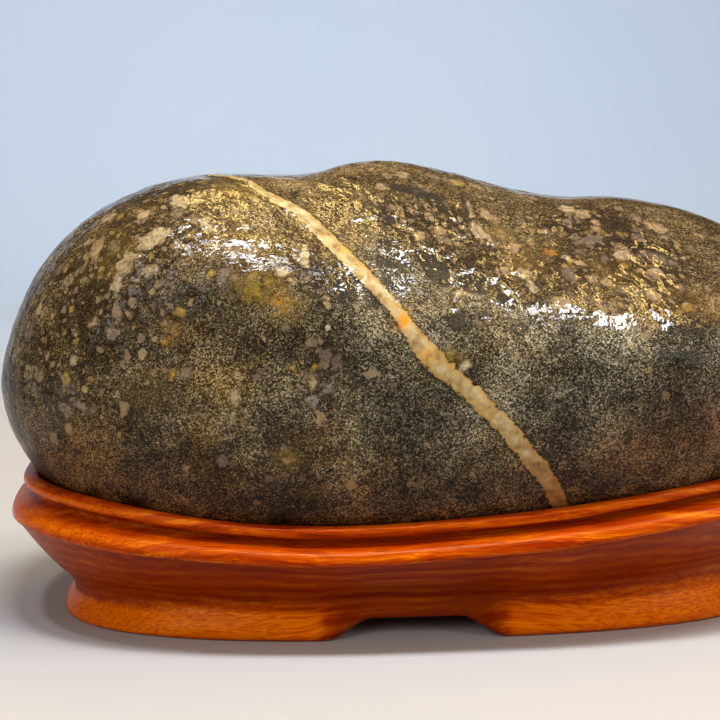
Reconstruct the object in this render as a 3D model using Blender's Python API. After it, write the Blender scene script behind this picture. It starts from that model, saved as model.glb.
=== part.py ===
"""River pebble on its carved wooden stand.

Two separate pieces: the water-worn stone, and the stand carved from one block of hardwood to fit
under it. The stone only rests in the stand's seat.

Metres, +Z up. The origin is on the surface that the stand stands on, under the middle of the stand.
X runs along the length of the stone, -Y is the front. Shape dimensions below are in millimetres.
"""

import math

import bmesh
import bpy
import numpy as np

MM = 0.001

# ---- stone -------------------------------------------------------------------------------------
STONE_CENTRE = (0.0, 0.0, 75.0)  # middle of the stone, above the soles of the feet
STONE_HALF_LENGTH = 125.1
STONE_HALF_DEPTH = 66.0
STONE_RISE = 57.5  # centre to top, before the side outline is applied
STONE_DROP = 56.8  # centre to underside
PLAN_ROUNDNESS = 2.7  # superellipse exponent seen from above
UPPER_ROUNDNESS = 2.35  # superellipse exponent of the upper half, seen from the end
LOWER_ROUNDNESS = 3.5  # the lower half is fuller, most of all at its left
LOWER_ROUNDNESS_RIGHT = 2.75
STONE_SUBDIVISIONS = 5

# The stone's outline seen from the front, anticlockwise from its right nose: (x, z).
STONE_OUTLINE = (
    (125.1, 68), (122.3, 85), (115, 97.5), (104.5, 107.5), (93, 114.5), (80.5, 119),
    (66, 121.9), (51, 122), (38, 122.9), (24, 126.3), (11, 130.4), (1, 132.8),
    (-9, 134), (-18, 133.6), (-26, 131.5), (-35, 129.2), (-48, 129.2), (-62, 129.2),
    (-79, 126.2), (-94, 119.9), (-106, 110.5), (-115.5, 98), (-122, 83.5), (-125.1, 67),
    (-120.9, 51.5), (-110, 37.5), (-94, 27.5), (-72, 22), (-38, 19), (0, 18.2),
    (38, 19.2), (72, 23.8), (95, 32), (111, 43), (121.5, 55.5),
)

# Worn flats: (normal, a point on the flat, width of the rounding into it).
STONE_FLATS = (
    ((0.19, -0.70, 1.0), (52, -60, 89), 21.0),  # long slope of the upper front
    ((0.02, 0.75, 1.0), (0, 60, 101), 24.0),  # upper back
)

# Broad swells and hollows: (centre, spread, height).
STONE_SWELLS = (
    ((36, -30, 110), 13.0, -1.7),  # hollow between the knob and the right shoulder
    ((66, -28, 108), 15.0, 1.1),
    ((-12, -26, 122), 12.0, 1.0),  # the knob
    ((-38, -44, 112), 9.0, -0.8),
    ((-84, -46, 92), 18.0, 1.0),
    ((-30, -64, 62), 20.0, -0.8),
    ((62, -60, 62), 22.0, 0.8),
    ((-60, 52, 84), 22.0, 1.5),
    ((8, 62, 74), 18.0, -1.4),
    ((70, 50, 88), 20.0, 1.3),
    ((-70, 30, 116), 16.0, -1.2),
    ((28, 34, 118), 16.0, 0.9),
)

# ---- stand -------------------------------------------------------------------------------------
FOOT_HALF_LENGTH = 108.6  # outline of the feet at their soles
FOOT_HALF_DEPTH = 51.5
STAND_ROUNDNESS = 2.7
SEAT_GAP = 0.3  # clearance between the stone and its carved seat
SEGMENTS = 66  # steps around the stand

NECK_INSET = 3.0  # the neck stands this far inside the feet
BEAD_OUT = 14.5  # widest bead, outside the feet
GROOVE_OUT = 7.7
RIM_OUT = 11.0
FOOT_BAND = 16.0  # width of the feet, from outside to inside
UNDERSIDE = 7.7  # height of the hollow under the stand
GAP_CEILING = 5.6  # height of the wood between the feet, in front and behind

# Height of the rim where the stone meets it, along X: it is carved to follow the stone.
RIM_STATIONS = (
    (-128, 43.2), (-108, 42.2), (-86, 40.0), (-58, 36.3), (-28, 34.8), (7, 36.5),
    (33, 38.9), (59, 42.3), (80, 44.4), (104, 46.2), (128, 46.8),
)

# Height of the neck's top, where the cove begins, along X.
NECK_STATIONS = (
    (-112, 6.8), (-88, 9.2), (-60, 11.0), (0, 11.0), (36, 11.2), (64, 13.2), (86, 14.4), (112, 14.8),
)

# The gap between the feet, front and back: middle and half width at the soles.
GAP_MIDDLE = -7.0
GAP_HALF_WIDTH = 26.5
GAP_OGEE = 14.0  # length of the curve from the sole up to the gap's ceiling
FLARE_FADE = 13.0  # the flare of the feet dies out over this length beside the gap


def step(x, low, high):
    """0 below low, 1 above high, smooth between."""
    t = np.clip((np.asarray(x, float) - low) / (high - low), 0.0, 1.0)
    return t * t * (3.0 - 2.0 * t)


def periodic_spline(angles, values):
    """The smooth closed curve through values at angles, as a function of angle."""
    t = np.asarray(angles, float)
    v = np.asarray(values, float)
    n = len(t)
    width = np.diff(np.append(t, t[0] + 2 * math.pi))
    slope = np.diff(np.append(v, v[0])) / width
    system = np.zeros((n, n))
    for i in range(n):
        system[i, i] = 2 * (width[i - 1] + width[i])
        system[i, i - 1] += width[i - 1]
        system[i, (i + 1) % n] += width[i]
    bend = np.linalg.solve(system, 6 * (slope - np.roll(slope, 1)))

    def curve(x):
        x = (np.asarray(x, float) - t[0]) % (2 * math.pi) + t[0]
        i = np.clip(np.searchsorted(t, x, side="right") - 1, 0, n - 1)
        j = (i + 1) % n
        a = x - t[i]
        b = width[i] - a
        return (
            (bend[i] * b**3 + bend[j] * a**3) / (6 * width[i])
            + (v[i] / width[i] - bend[i] * width[i] / 6) * b
            + (v[j] / width[i] - bend[j] * width[i] / 6) * a
        )

    return curve


def station_curve(stations):
    """The smooth open curve through (x, value) stations."""
    x0 = np.array([s[0] for s in stations], float)
    v = np.array([s[1] for s in stations], float)
    n = len(x0)
    width = np.diff(x0)
    slope = np.diff(v) / width
    system = np.eye(n)
    right = np.zeros(n)
    for i in range(1, n - 1):
        system[i, i - 1 : i + 2] = width[i - 1], 2 * (width[i - 1] + width[i]), width[i]
        right[i] = 6 * (slope[i] - slope[i - 1])
    bend = np.linalg.solve(system, right)

    def curve(x):
        x = np.clip(np.asarray(x, float), x0[0], x0[-1])
        i = np.clip(np.searchsorted(x0, x, side="right") - 1, 0, n - 2)
        a = x - x0[i]
        b = width[i] - a
        return (
            (bend[i] * b**3 + bend[i + 1] * a**3) / (6 * width[i])
            + (v[i] / width[i] - bend[i] * width[i] / 6) * b
            + (v[i + 1] / width[i] - bend[i + 1] * width[i] / 6) * a
        )

    return curve


def smooth_min(a, b, width):
    near = np.clip(1 - np.abs(a - b) / width, 0, 1)
    return np.minimum(a, b) - near**3 * width / 6


OUTLINE = np.array(STONE_OUTLINE, float) - (STONE_CENTRE[0], STONE_CENTRE[2])
outline_radius = periodic_spline(
    np.unwrap(np.arctan2(OUTLINE[:, 1], OUTLINE[:, 0])), np.hypot(OUTLINE[:, 0], OUTLINE[:, 1])
)


def stone_radius(d):
    """Distance from the stone's centre to its surface along unit directions d."""
    dx, dy, dz = d[:, 0], d[:, 1], d[:, 2]
    up = dz > 0
    e = np.where(up, UPPER_ROUNDNESS, LOWER_ROUNDNESS + (LOWER_ROUNDNESS_RIGHT - LOWER_ROUNDNESS) * step(dx, -0.5, 0.6))
    c = np.where(up, STONE_RISE, STONE_DROP)
    plan = (
        np.abs(dx / STONE_HALF_LENGTH) ** PLAN_ROUNDNESS
        + np.abs(dy / STONE_HALF_DEPTH) ** PLAN_ROUNDNESS
    ) ** (1 / PLAN_ROUNDNESS)
    r = (plan**e + np.abs(dz / c) ** e) ** (-1 / e)
    # carry the front outline over the body, most strongly where the surface turns edge-on
    rho = np.maximum(np.hypot(dx, dz), 1e-6)
    ux, uz = dx / rho, dz / rho
    plain = (np.abs(ux / STONE_HALF_LENGTH) ** e + np.abs(uz / c) ** e) ** (-1 / e)
    r = r * (1 + (outline_radius(np.arctan2(uz, ux)) / plain - 1) * rho**2.5)
    for normal, point, width in STONE_FLATS:
        n = np.array(normal) / np.linalg.norm(normal)
        facing = d @ n
        reach = (np.array(point, float) - STONE_CENTRE) @ n
        flat = np.where(facing > 0.15, reach / np.maximum(facing, 0.15), 1e3)
        r = smooth_min(r, flat, width)
    p = np.array(STONE_CENTRE) + d * r[:, None]
    for centre, spread, height in STONE_SWELLS:
        away = ((p - np.array(centre, float)) ** 2).sum(1)
        r = r + height * np.exp(-away / (2 * spread**2))
    return r


def stone_surface(d):
    return np.array(STONE_CENTRE) + d * stone_radius(d)[:, None]


rim_height = station_curve(RIM_STATIONS)
neck_height = station_curve(NECK_STATIONS)


def plan_point(phi, out):
    """A point of the stand's outline, pushed outwards by out."""
    k = (abs(math.cos(phi)) ** STAND_ROUNDNESS + abs(math.sin(phi)) ** STAND_ROUNDNESS) ** (
        -1 / STAND_ROUNDNESS
    )
    return (
        (FOOT_HALF_LENGTH + out) * math.cos(phi) * k,
        (FOOT_HALF_DEPTH + out) * math.sin(phi) * k,
    )


def stand_profile(phi):
    """(out, z) points from the middle of the underside, round the outside and over the rim."""
    x, _ = plan_point(phi, 0)
    from_gap = abs(x - GAP_MIDDLE)
    sole = GAP_CEILING * float(1 - step(from_gap, GAP_HALF_WIDTH - GAP_OGEE, GAP_HALF_WIDTH))
    flare = float(step(from_gap, GAP_HALF_WIDTH - GAP_OGEE, GAP_HALF_WIDTH - GAP_OGEE + FLARE_FADE))
    rim = float(rim_height(x))
    neck = float(neck_height(x))
    # the mouldings are a little taller round the ends
    stack = 1 + 0.24 * float(step(-x, 50, 92)) + 0.12 * float(step(-x, 98, 122))
    stack += 0.10 * float(step(x, 80, 122))

    def foot(out, z):  # the feet swell out below the neck, and die out beside the gap
        return -NECK_INSET + (NECK_INSET + out) * flare, sole + (neck - sole) * z

    def below_rim(out, down):
        return out, rim - down * stack

    points = [
        (-FOOT_BAND - 2.0, UNDERSIDE),
        (-FOOT_BAND, sole),
        (foot(0, 0)[0] - 0.8, sole),
        foot(0, 0.07),
        foot(-0.1, 0.20),
        foot(-0.9, 0.42),
        foot(-2.2, 0.64),
        foot(-NECK_INSET, 0.82),
        (-NECK_INSET, neck),
    ]
    top_out, top_z = below_rim(13.5, 9.8)
    for across, up in ((0.975, 0.93), (0.90, 0.83), (0.72, 0.69), (0.42, 0.43), (0.0, 0.0)):
        points.append(
            (top_out - (top_out + NECK_INSET) * across, top_z + (neck - top_z) * up)
        )
    points += [
        below_rim(BEAD_OUT, 9.2),
        below_rim(BEAD_OUT, 7.9),
        below_rim(13.6, 6.3),
        below_rim(9.4, 4.9),
        below_rim(GROOVE_OUT, 4.2),
        below_rim(GROOVE_OUT + 0.9, 3.1),
        below_rim(10.5, 2.3),
        below_rim(RIM_OUT, 1.3),
        below_rim(10.6, 0.3),
        below_rim(9.2, -0.3),
        below_rim(6.0, 0.0),
        below_rim(-6.0, 1.0),
    ]
    return points


def mesh_object(name, bm, material):
    mesh = bpy.data.meshes.new(name)
    bm.to_mesh(mesh)
    bm.free()
    mesh.materials.append(material)
    obj = bpy.data.objects.new(name, mesh)
    bpy.context.scene.collection.objects.link(obj)
    return obj


def material(name, colour, roughness, metallic=0.0):
    mat = bpy.data.materials.new(name)
    mat.use_nodes = True
    shader = mat.node_tree.nodes["Principled BSDF"]
    shader.inputs["Base Color"].default_value = (*colour, 1)
    shader.inputs["Roughness"].default_value = roughness
    shader.inputs["Metallic"].default_value = metallic
    mat.diffuse_color = (*colour, 1)
    return mat


def stone_mesh(gap=0.0):
    """A ball stretched to the stone's proportions, then pushed out to its surface."""
    bm = bmesh.new()
    bmesh.ops.create_icosphere(bm, subdivisions=STONE_SUBDIVISIONS, radius=1.0)
    ball = np.array([v.co[:] for v in bm.verts])
    d = ball * (STONE_HALF_LENGTH, STONE_HALF_DEPTH, STONE_DROP)
    d /= np.linalg.norm(d, axis=1, keepdims=True)
    centre = np.array(STONE_CENTRE)
    for v, p in zip(bm.verts, stone_surface(d) - centre):
        v.co = p * MM
    if gap:
        bm.normal_update()
        moved = [v.co + v.normal * gap * MM for v in bm.verts]
        for v, p in zip(bm.verts, moved):
            v.co = p
    for face in bm.faces:
        face.smooth = True
    return bm


def stand_angles():
    """Steps round the stand, closer together where the sole curves up into the gap."""
    fine = np.linspace(0, 2 * math.pi, 3601)
    x = np.array([plan_point(phi, 0)[0] for phi in fine])
    edge = np.abs(np.abs(x - GAP_MIDDLE) - (GAP_HALF_WIDTH - GAP_OGEE / 2))
    crowding = 1 + 2.6 * (1 - step(edge, GAP_OGEE * 0.4, GAP_OGEE * 0.9))
    run = np.concatenate([[0], np.cumsum((crowding[1:] + crowding[:-1]) / 2)])
    return np.interp((np.arange(SEGMENTS) + 0.5) / SEGMENTS, run / run[-1], fine)


def stand_mesh():
    """The moulded profile carried round the stand's outline, closed above and below."""
    bm = bmesh.new()
    rings = []
    for phi in stand_angles():
        column = []
        for out, z in stand_profile(phi):
            x, y = plan_point(phi, out)
            column.append(bm.verts.new((x * MM, y * MM, z * MM)))
        rings.append(column)
    count = len(rings[0])
    for i in range(SEGMENTS):
        a, b = rings[i], rings[(i + 1) % SEGMENTS]
        for j in range(count - 1):
            bm.faces.new((a[j], b[j], b[j + 1], a[j + 1]))
    bm.faces.new([column[0] for column in reversed(rings)])
    # the block above the rim is lost in the seat cut
    middle = bm.verts.new((0, 0, 40 * MM))
    for i in range(SEGMENTS):
        bm.faces.new((rings[i][-1], rings[(i + 1) % SEGMENTS][-1], middle))
    for face in bm.faces:
        face.smooth = len(face.verts) == 4
    bmesh.ops.recalc_face_normals(bm, faces=bm.faces[:])
    return bm


def main():
    for obj in list(bpy.data.objects):
        bpy.data.objects.remove(obj, do_unlink=True)

    stone_look = material("wet_stone", (0.10, 0.095, 0.075), 0.35)
    wood_look = material("stand_wood", (0.48, 0.13, 0.025), 0.32)

    stone = mesh_object("stone", stone_mesh(), stone_look)
    stone.location = [c * MM for c in STONE_CENTRE]

    stand = mesh_object("stand", stand_mesh(), wood_look)

    seat = mesh_object("seat_cutter", stone_mesh(SEAT_GAP), stone_look)
    seat.location = stone.location
    seat.hide_render = True
    seat.display_type = "WIRE"

    carve = stand.modifiers.new("seat", "BOOLEAN")
    carve.operation = "DIFFERENCE"
    carve.solver = "EXACT"
    carve.object = seat


main()
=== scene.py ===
"""Looks of the river pebble on its carved wooden stand.

The frame gives the size and place of both pieces. The stone and the stand are each replaced by a
fine mesh of the same shape, with their relief, and get procedural materials. Lengths below are in
millimetres unless they say otherwise; meshes are made in metres.
"""

import math

import bpy
import numpy as np
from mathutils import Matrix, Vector

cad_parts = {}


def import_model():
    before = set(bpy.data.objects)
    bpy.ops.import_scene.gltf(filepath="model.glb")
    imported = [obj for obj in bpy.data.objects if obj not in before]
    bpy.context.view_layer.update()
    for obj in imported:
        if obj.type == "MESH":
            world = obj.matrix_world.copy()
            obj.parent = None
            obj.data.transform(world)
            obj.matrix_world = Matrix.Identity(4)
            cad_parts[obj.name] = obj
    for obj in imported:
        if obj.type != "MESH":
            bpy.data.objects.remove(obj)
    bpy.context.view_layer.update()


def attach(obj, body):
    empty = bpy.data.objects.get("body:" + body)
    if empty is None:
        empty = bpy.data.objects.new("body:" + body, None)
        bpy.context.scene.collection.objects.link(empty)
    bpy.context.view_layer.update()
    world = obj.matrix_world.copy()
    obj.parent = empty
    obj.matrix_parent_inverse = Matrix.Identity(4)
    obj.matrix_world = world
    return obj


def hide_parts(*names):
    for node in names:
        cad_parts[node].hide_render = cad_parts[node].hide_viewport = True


MM = 0.001

# ---- the shape, as in the frame ------------------------------------------------------------------
STONE_CENTRE = np.array((0.0, 0.0, 75.0))
STONE_HALF_LENGTH = 125.1
STONE_HALF_DEPTH = 66.0
STONE_RISE = 57.5
STONE_DROP = 56.8
PLAN_ROUNDNESS = 2.7
UPPER_ROUNDNESS = 2.35
LOWER_ROUNDNESS = 3.5
LOWER_ROUNDNESS_RIGHT = 2.75

STONE_OUTLINE = (
    (125.1, 68), (122.3, 85), (115, 97.5), (104.5, 107.5), (93, 114.5), (80.5, 119),
    (66, 121.9), (51, 122), (38, 122.9), (24, 126.3), (11, 130.4), (1, 132.8),
    (-9, 134), (-18, 133.6), (-26, 131.5), (-35, 129.2), (-48, 129.2), (-62, 129.2),
    (-79, 126.2), (-94, 119.9), (-106, 110.5), (-115.5, 98), (-122, 83.5), (-125.1, 67),
    (-120.9, 51.5), (-110, 37.5), (-94, 27.5), (-72, 22), (-38, 19), (0, 18.2),
    (38, 19.2), (72, 23.8), (95, 32), (111, 43), (121.5, 55.5),
)
STONE_FLATS = (
    ((0.19, -0.70, 1.0), (52, -60, 89), 21.0),
    ((0.02, 0.75, 1.0), (0, 60, 101), 24.0),
)
STONE_SWELLS = (
    ((36, -30, 110), 13.0, -1.7),
    ((66, -28, 108), 15.0, 1.1),
    ((-12, -26, 122), 12.0, 1.0),
    ((-38, -44, 112), 9.0, -0.8),
    ((-84, -46, 92), 18.0, 1.0),
    ((-30, -64, 62), 20.0, -0.8),
    ((62, -60, 62), 22.0, 0.8),
    ((-60, 52, 84), 22.0, 1.5),
    ((8, 62, 74), 18.0, -1.4),
    ((70, 50, 88), 20.0, 1.3),
    ((-70, 30, 116), 16.0, -1.2),
    ((28, 34, 118), 16.0, 0.9),
)

FOOT_HALF_LENGTH = 108.6
FOOT_HALF_DEPTH = 51.5
STAND_ROUNDNESS = 2.7
NECK_INSET = 3.0
BEAD_OUT = 14.5
GROOVE_OUT = 7.7
RIM_OUT = 11.0
FOOT_BAND = 16.0
UNDERSIDE = 7.7
GAP_CEILING = 5.6
RIM_STATIONS = (
    (-128, 43.2), (-108, 42.2), (-86, 40.0), (-58, 36.3), (-28, 34.8), (7, 36.5),
    (33, 38.9), (59, 42.3), (80, 44.4), (104, 46.2), (128, 46.8),
)
NECK_STATIONS = (
    (-112, 6.8), (-88, 9.2), (-60, 11.0), (0, 11.0), (36, 11.2), (64, 13.2), (86, 14.4), (112, 14.8),
)
GAP_MIDDLE = -7.0
GAP_HALF_WIDTH = 26.5
GAP_OGEE = 14.0
FLARE_FADE = 13.0

# ---- the fine meshes -----------------------------------------------------------------------------
STONE_STEPS = (202, 105, 93)  # squares along X, Y and Z of the box that is blown up to the stone
STAND_SEGMENTS = 640
SEAT_CLEARANCE = 0.55  # between the stone and the visible seat

# ---- the view ------------------------------------------------------------------------------------
FOCAL = 1402.0  # in pixels of the 720 x 720 frame
FRAME_SIZE = 720
EYE = np.array((-59.1, -426.3, 127.4))
PITCH, YAW = 7.31, -5.5

# ---- the vein: a thin sheet of pale mineral that cuts the stone ------------------------------------
VEIN_POINT = np.array((-16.7, -50.8, 93.3))
VEIN_RUN = np.array((0.661, -0.340, -0.669))
VEIN_NORMAL = np.array((-0.748, -0.235, -0.620))  # towards its lower left side
# along the run: (distance, how far the sheet is bent aside)
VEIN_BEND = (
    (-120, 6.0), (-80, 5.6), (-68, 4.1), (-59, 0.9), (-52, -0.2), (-44, -0.6), (-37, -2.1),
    (-26, -1.9), (-16, -0.5), (-6, 0.0), (8, 1.5), (21, 2.6), (29, 1.4), (39, 0.0),
    (52, -0.9), (64, -1.0), (80, 0.4), (120, 2.0),
)
# along the run: (distance, half its thickness)
VEIN_HALF = (
    (-120, 0.8), (-80, 0.7), (-68, 0.65), (-60, 0.95), (-53.5, 1.25), (-48, 1.6), (-41, 2.1),
    (-34, 2.55), (-24, 2.6), (-8, 2.45), (2, 2.2), (9, 2.2), (14, 2.8), (18.5, 3.6), (23, 3.2),
    (30, 2.6), (45, 2.65), (60, 2.5), (80, 2.1), (120, 1.4),
)

# Fragments and stains on the side that is seen, placed by where they show in the frame:
# (across, down, half width, half height, tilt, kind, tone). Tone runs from 0, whitish, over
# 0.35 cream, 0.6 tan and 0.8 yellow to 1, orange.
FRAGMENTS = (
    (155, 237, 16, 9, 32, "pale", 0.40), (145, 244, 8, 4, 10, "pale", 0.45),
    (125, 263, 9, 15, -32, "pale", 0.50), (116, 285, 6, 9, -25, "pale", 0.48),
    (149, 270, 11, 6, 18, "pale", 0.55), (96, 250, 7, 10, -10, "pale", 0.60),
    (143, 215, 9, 5, 35, "pale", 0.50), (179, 201, 8, 9, 30, "pale", 0.42),
    (38, 308, 6, 7, -20, "pale", 0.50), (108, 218, 10, 4, 30, "pale", 0.60),
    (71, 311, 4, 5, 0, "pale", 0.75), (93, 323, 7, 5, 20, "pale", 0.58),
    (179, 313, 5, 6, 0, "pale", 0.82), (209, 228, 6, 10, 38, "pale", 0.46),
    (254, 238, 4, 3, 0, "pale", 0.70), (304, 256, 5, 12, 0, "pale", 0.36),
    (283, 272, 6, 6, 10, "pale", 0.34), (224, 276, 6, 9, -30, "grey", 0.25),
    (238, 254, 4, 11, 0, "grey", 0.15), (253, 252, 5, 9, -15, "grey", 0.15),
    (211, 275, 4, 3, 20, "pale", 0.80), (284, 326, 5, 5, 0, "grey", 0.15),
    (326, 302, 4, 6, 20, "pale", 0.55), (328, 331, 3, 4, 0, "pale", 0.20),
    (402, 174, 8, 4, -25, "pale", 0.55), (383, 186, 6, 6, -45, "pale", 0.52),
    (458, 182, 7, 5, -20, "pale", 0.72), (479, 231, 8, 11, 35, "pale", 0.50),
    (470, 209, 3, 8, 10, "pale", 0.56), (486, 214, 6, 7, 0, "pale", 0.60),
    (502, 233, 3, 2, 0, "pale", 0.85), (513, 248, 7, 6, -20, "pale", 0.58),
    (523, 273, 8, 5, 10, "pale", 0.46), (532, 286, 5, 9, 20, "pale", 0.46),
    (567, 208, 8, 4, -22, "pale", 0.48), (583, 214, 8, 5, 0, "pale", 0.60),
    (595, 222, 5, 4, 20, "pale", 0.56), (596, 229, 6, 3, 0, "pale", 0.60),
    (589, 240, 17, 5, 20, "grey", 0.35), (580, 252, 6, 3, -42, "grey", 0.35),
    (656, 228, 11, 5, -5, "pale", 0.60), (623, 256, 11, 6, 8, "pale", 0.52),
    (649, 257, 6, 5, 0, "grey", 0.45), (660, 259, 6, 5, 20, "grey", 0.40),
    (656, 273, 10, 5, -4, "pale", 0.58), (571, 262, 2.5, 3, 0, "pale", 0.86),
    (566, 258, 4, 3, 0, "pale", 0.30), (549, 252, 8, 3.5, -8, "pale", 0.96),
    (579, 263, 6, 4, -20, "pale", 0.56), (569, 274, 8, 6, 0, "grey", 0.30),
    (604, 259, 6, 4, 0, "grey", 0.45), (643, 253, 5, 4, 30, "grey", 0.45),
    (638, 231, 6, 3, 20, "grey", 0.50), (623, 290, 8, 5, 0, "grey", 0.45),
    (635, 292, 5, 6, 0, "grey", 0.30), (653, 296, 9, 6, 0, "pale", 0.58),
    (674, 263, 5, 4, 0, "grey", 0.50), (607, 282, 6, 4, 20, "pale", 0.60),
    (560, 303, 12, 7, 5, "pale", 0.60), (548, 232, 5, 4, 0, "grey", 0.45),
    (521, 222, 6, 4, -30, "grey", 0.55), (48, 354, 4, 5, 0, "pale", 0.55),
    (66, 381, 5, 9, -10, "pale", 0.78), (73, 360, 3.5, 5, 0, "pale", 0.45),
    (80, 406, 7, 5, 0, "grey", 0.10), (93, 409, 5, 5, 0, "grey", 0.15),
    (68, 430, 5, 6, 20, "pale", 0.52), (10, 349, 3.5, 6, 0, "pale", 0.50),
    (18, 372, 4, 11, -20, "grey", 0.55), (172, 375, 4, 6, 0, "pale", 0.86),
    (186, 375, 6, 6, 0, "grey", 0.20), (165, 342, 4, 3, 0, "pale", 0.88),
    (234, 398, 5.2, 6, 5, "pale", 0.40), (232, 418, 3.4, 8.5, -4, "pale", 0.38),
    (313, 401, 6, 6, 0, "grey", 0.02), (319, 418, 5, 6, 30, "pale", 0.62),
    (326, 357, 5, 11, -25, "grey", 0.30), (337, 361, 4, 6, -25, "grey", 0.35),
    (330, 386, 4, 8, -35, "grey", 0.12), (312, 385, 4, 5, 0, "pale", 0.55),
    (314, 368, 3, 6, 0, "pale", 0.84), (292, 368, 4, 3, 0, "pale", 0.84),
    (284, 448, 3, 3, 0, "pale", 0.20), (289, 461, 7, 5, 20, "pale", 0.55),
    (222, 461, 8, 5, 0, "grey", 0.20), (187, 467, 5, 5, 0, "pale", 0.58),
    (271, 480, 4, 5, 0, "grey", 0.25), (464, 368, 8, 4.5, 38, "pale", 0.30),
    (343, 270, 5, 3, 20, "pale", 0.40), (200, 178, 7, 3, 10, "pale", 0.60),
    (60, 270, 8, 5, 40, "grey", 0.50), (30, 330, 5, 8, -15, "grey", 0.50),
    (420, 236, 7, 5, -20, "pale", 0.62), (440, 230, 6, 5, 15, "pale", 0.60),
    (690, 250, 6, 4, 0, "grey", 0.60), (700, 236, 5, 3, 0, "pale", 0.62),
)
# Soft stains: (across, down, half width, half height, tilt, strength, tone)
STAINS = (
    (262, 290, 26, 19, -20, 0.95, 0.30), (285, 305, 16, 17, -20, 0.8, 0.42),
    (277, 299, 8, 13, 0, 1.0, 0.92), (172, 330, 10, 12, 0, 0.6, 0.7), (452, 359, 10, 9, 20, 0.75, 0.35),
    (17, 410, 7, 18, 0, 0.6, 0.1), (287, 459, 16, 12, 20, 0.55, 0.25), (315, 492, 10, 7, 0, 0.5, 0.2),
    (403, 321, 6, 9, -30, 1.0, 0.95), (429, 355, 8, 7, -30, 0.85, 0.85), (345, 250, 6, 6, 0, 0.6, 0.85),
    (240, 190, 30, 14, 0, 0.45, 0.3), (520, 262, 26, 14, 20, 0.45, 0.5), (500, 235, 16, 12, 0, 0.45, 0.5),
    (230, 240, 26, 14, 0, 0.35, 0.55), (110, 255, 30, 30, 0, 0.3, 0.35), (225, 395, 9, 9, 0, 0.45, 0.4),
    (150, 390, 30, 24, 0, 0.22, 0.3), (690, 300, 40, 18, 0, 0.2, 0.6), (620, 275, 40, 16, 0, 0.3, 0.5),
)
# Dark smooth lenses let into the upper front, and a few dark lines and bands along crevices and round a knob whose
# darkness is painted shade: (across, down, half width, half height, tilt, depth)
LENSES = (
    (395, 264, 18, 31, 8, 0.75), (435, 268, 15, 23, 30, 0.5), (474, 282, 20, 13, -25, 0.45),
    (484, 316, 6, 6, 0, 0.8), (345, 285, 17, 22, 10, 0.35), (277, 484, 4, 3, 0, 0.5),
    (412, 190, 34, 6, -8, 0.45), (446, 210, 5, 16, 20, 0.45), (467, 214, 3, 26, 4, 0.5),
    (457, 318, 11, 17, 20, 0.35), (506, 300, 13, 9, 0, 0.35), (392, 218, 9, 6, 0, 0.3),
    (372, 300, 9, 12, 20, 0.25), (520, 330, 12, 7, 10, 0.3),
)
# Where its skin is roughest: (across, down, half width, half height, tilt, strength)
WILD = (
    (400, 260, 45, 40, 0, 0.9), (470, 290, 50, 34, 0, 1.0), (270, 262, 70, 22, 0, 0.6),
    (440, 330, 40, 26, 0, 0.6), (560, 300, 60, 22, 0, 0.7), (660, 305, 60, 18, 0, 0.5),
    (410, 205, 40, 18, 0, 0.5), (150, 240, 50, 34, 0, 0.5),
)
# Where the stone is a breccia of small pale fragments: (across, down, reach in mm, share)
BRECCIA = (
    (120, 260, 22, 0.75), (75, 300, 20, 0.6), (165, 212, 15, 0.55), (35, 350, 20, 0.5),
    (70, 390, 14, 0.5), (90, 225, 12, 0.5), (240, 258, 11, 0.55), (300, 262, 10, 0.5),
    (590, 235, 16, 1.0), (640, 260, 17, 1.0), (560, 262, 13, 0.8), (625, 288, 12, 0.8),
    (515, 262, 12, 0.9), (440, 225, 14, 0.85), (400, 215, 11, 0.75), (325, 372, 8, 0.7),
    (455, 310, 11, 0.5), (400, 178, 12, 0.4), (205, 235, 12, 0.5), (500, 195, 14, 0.35),
)
# Height under which the front is the plain grey-green rock, along X.
SHOULDER = (
    (-130, 40), (-112, 52), (-100, 68), (-91, 86), (-84, 97), (-74, 105), (-60, 109), (-40, 111),
    (-20, 113), (-6, 109), (8, 101), (24, 94.5), (40, 90.5), (62, 89), (90, 88), (130, 80),
)


# ---- helpers -------------------------------------------------------------------------------------
def step(x, low, high):
    """0 below low, 1 above high, smooth between."""
    t = np.clip((np.asarray(x, float) - low) / (high - low), 0.0, 1.0)
    return t * t * (3.0 - 2.0 * t)


def periodic_spline(angles, values):
    """The smooth closed curve through values at angles, as a function of angle."""
    t = np.asarray(angles, float)
    v = np.asarray(values, float)
    n = len(t)
    width = np.diff(np.append(t, t[0] + 2 * math.pi))
    slope = np.diff(np.append(v, v[0])) / width
    system = np.zeros((n, n))
    for i in range(n):
        system[i, i] = 2 * (width[i - 1] + width[i])
        system[i, i - 1] += width[i - 1]
        system[i, (i + 1) % n] += width[i]
    bend = np.linalg.solve(system, 6 * (slope - np.roll(slope, 1)))

    def curve(x):
        x = (np.asarray(x, float) - t[0]) % (2 * math.pi) + t[0]
        i = np.clip(np.searchsorted(t, x, side="right") - 1, 0, n - 1)
        j = (i + 1) % n
        a = x - t[i]
        b = width[i] - a
        return (
            (bend[i] * b**3 + bend[j] * a**3) / (6 * width[i])
            + (v[i] / width[i] - bend[i] * width[i] / 6) * b
            + (v[j] / width[i] - bend[j] * width[i] / 6) * a
        )

    return curve


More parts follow.
